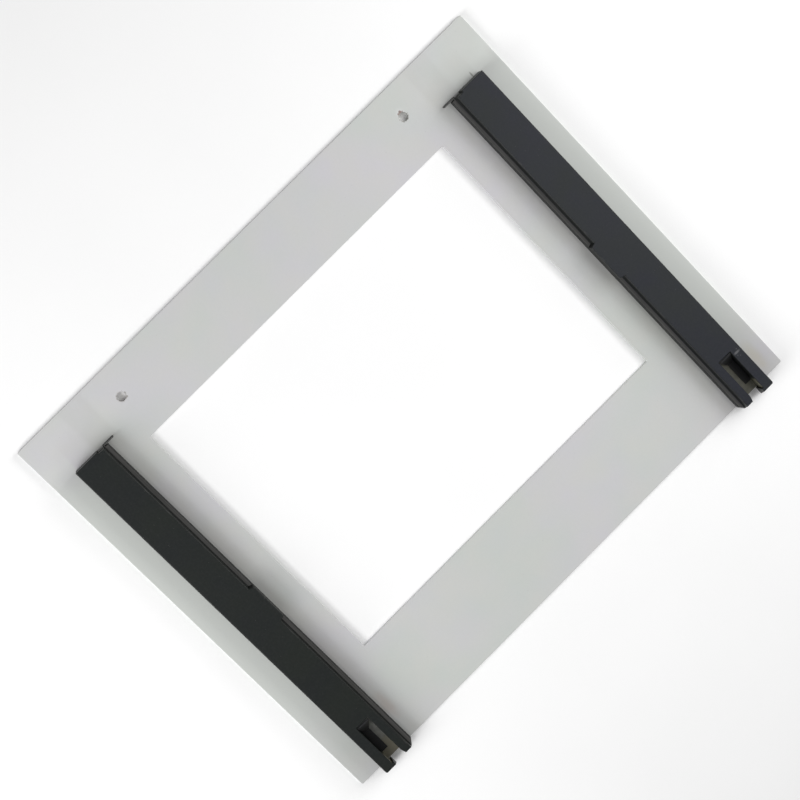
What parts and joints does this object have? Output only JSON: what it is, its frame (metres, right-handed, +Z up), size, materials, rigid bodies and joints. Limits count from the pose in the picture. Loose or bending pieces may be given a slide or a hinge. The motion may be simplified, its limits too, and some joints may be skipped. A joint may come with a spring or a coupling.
{
  "type": "negative carrier plate",
  "caption": "Coated carrier plate with a rectangular film window, black guide rails that end in open forks, and plain handle holes near the front edge.",
  "frame": {"origin": "centre of the whole footprint, on the underside of the plate", "axes": "+X right along the plate's long side, +Y towards the front edge with the handle holes, +Z up through the rails"},
  "size_m": [0.2284, 0.1844, 0.0095],
  "materials": {
    "plate_coating": "pale grey-white baked coating, fine orange peel, semi-matt",
    "rail_black": "moulded black, satin",
    "strip_black_steel": "blackened spring strip, satin",
    "screw_steel": "zinc plated, dull"
  },
  "bodies": {
    "root": {"carrier_plate": "plate_coating", "left_fork_wear_strip": "strip_black_steel", "left_rail": "rail_black", "left_rail_screw_1": "screw_steel", "left_rail_screw_2": "screw_steel", "left_rail_screw_3": "screw_steel", "left_rail_screw_4": "screw_steel", "right_fork_wear_strip": "strip_black_steel", "right_rail": "rail_black", "right_rail_screw_1": "screw_steel", "right_rail_screw_2": "screw_steel", "right_rail_screw_3": "screw_steel", "right_rail_screw_4": "screw_steel"}
  },
  "joints": []
}
